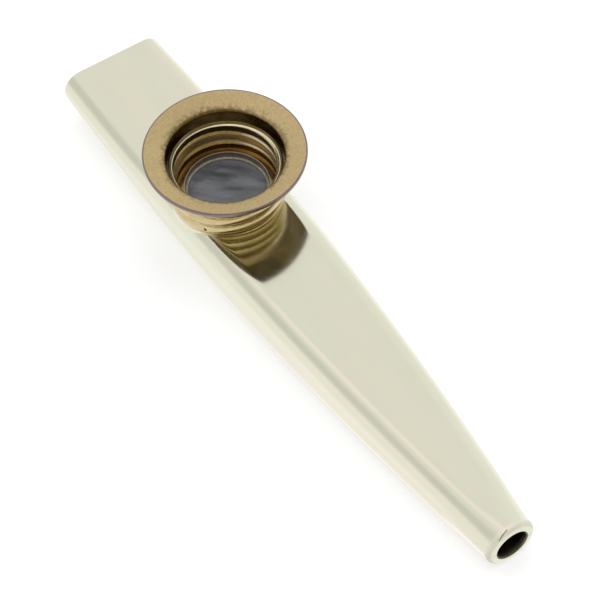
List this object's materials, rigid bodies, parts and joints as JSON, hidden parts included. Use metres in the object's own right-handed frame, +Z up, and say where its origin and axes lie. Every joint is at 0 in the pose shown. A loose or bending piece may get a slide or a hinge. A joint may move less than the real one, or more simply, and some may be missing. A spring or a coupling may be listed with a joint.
{
  "type": "kazoo",
  "caption": "Pressed-metal kazoo: a flat tapering tube with a wide mouth and a round outlet, and a screw-capped turret that clamps a buzzing film over a port in its top.",
  "frame": {"origin": "under the middle of the body's length, on the plane of its flat belly", "axes": "+X from the mouth to the outlet, +Z up along the turret's axis, +Y across the body"},
  "size_m": [0.12, 0.028, 0.0221],
  "materials": {
    "tinplate": "bright polished tinplate with a warm, faintly green cast",
    "collar_brass": "pale lacquered brass, rolled and faintly scratched round the thread",
    "cap_brass": "satin brass, matte on the flare and smooth in the throat",
    "ring_brass": "darkened brass",
    "film": "thin grey translucent film with faint creases",
    "card": "pale grey card"
  },
  "bodies": {
    "body": {"upper_shell": "tinplate", "lower_shell": "tinplate", "turret_collar": "collar_brass", "membrane_film": "film", "membrane_ring": "card"},
    "ring": {"clamp_ring": "ring_brass"},
    "cap": {"turret_cap": "cap_brass"}
  },
  "joints": [
    {"name": "cap_turn", "type": "hinge", "parent": "body", "child": "ring", "pos_m": [-0.02115, 0, 0.0126], "axis": [0, 0, 1], "range_deg": [0, 720]},
    {"name": "cap_lift", "type": "slide", "parent": "ring", "child": "cap", "axis": [0, 0, 1], "range_m": [0, 0.0043]}
  ],
  "couplings": [
    {"joint": "cap_turn", "follows": "cap_lift", "rad_per_m": 2922.4}
  ]
}
